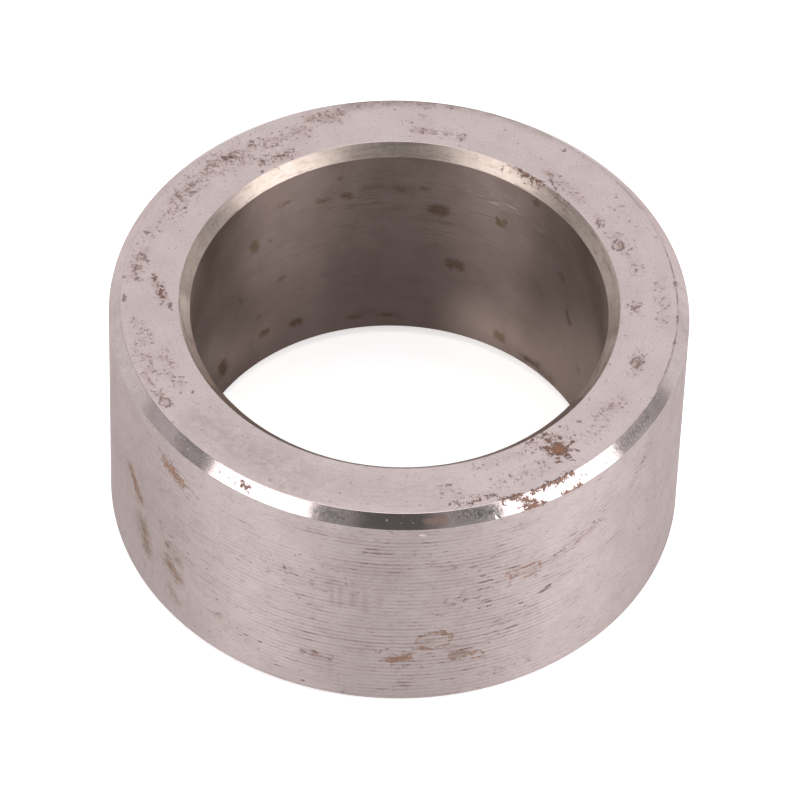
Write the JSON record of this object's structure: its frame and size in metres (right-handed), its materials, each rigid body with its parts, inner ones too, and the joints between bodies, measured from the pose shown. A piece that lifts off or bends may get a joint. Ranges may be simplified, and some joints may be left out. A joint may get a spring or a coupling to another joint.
{
  "type": "plain bushing",
  "caption": "Thick-walled plain steel bushing: a turned ring with a straight through bore and a small chamfer on every edge.",
  "frame": {"origin": "centre of the bottom end face, on the bore's axis", "axes": "+Z along the bore's axis, from the bottom end face to the top one; X and Y are any two directions square to it, because the ring is round"},
  "size_m": [0.05, 0.05, 0.024],
  "materials": {
    "turned_steel": "matt fine-turned steel, warm grey, with tool marks, a few rust spots and small pits"
  },
  "bodies": {
    "root": {"bushing": "turned_steel"}
  },
  "joints": []
}
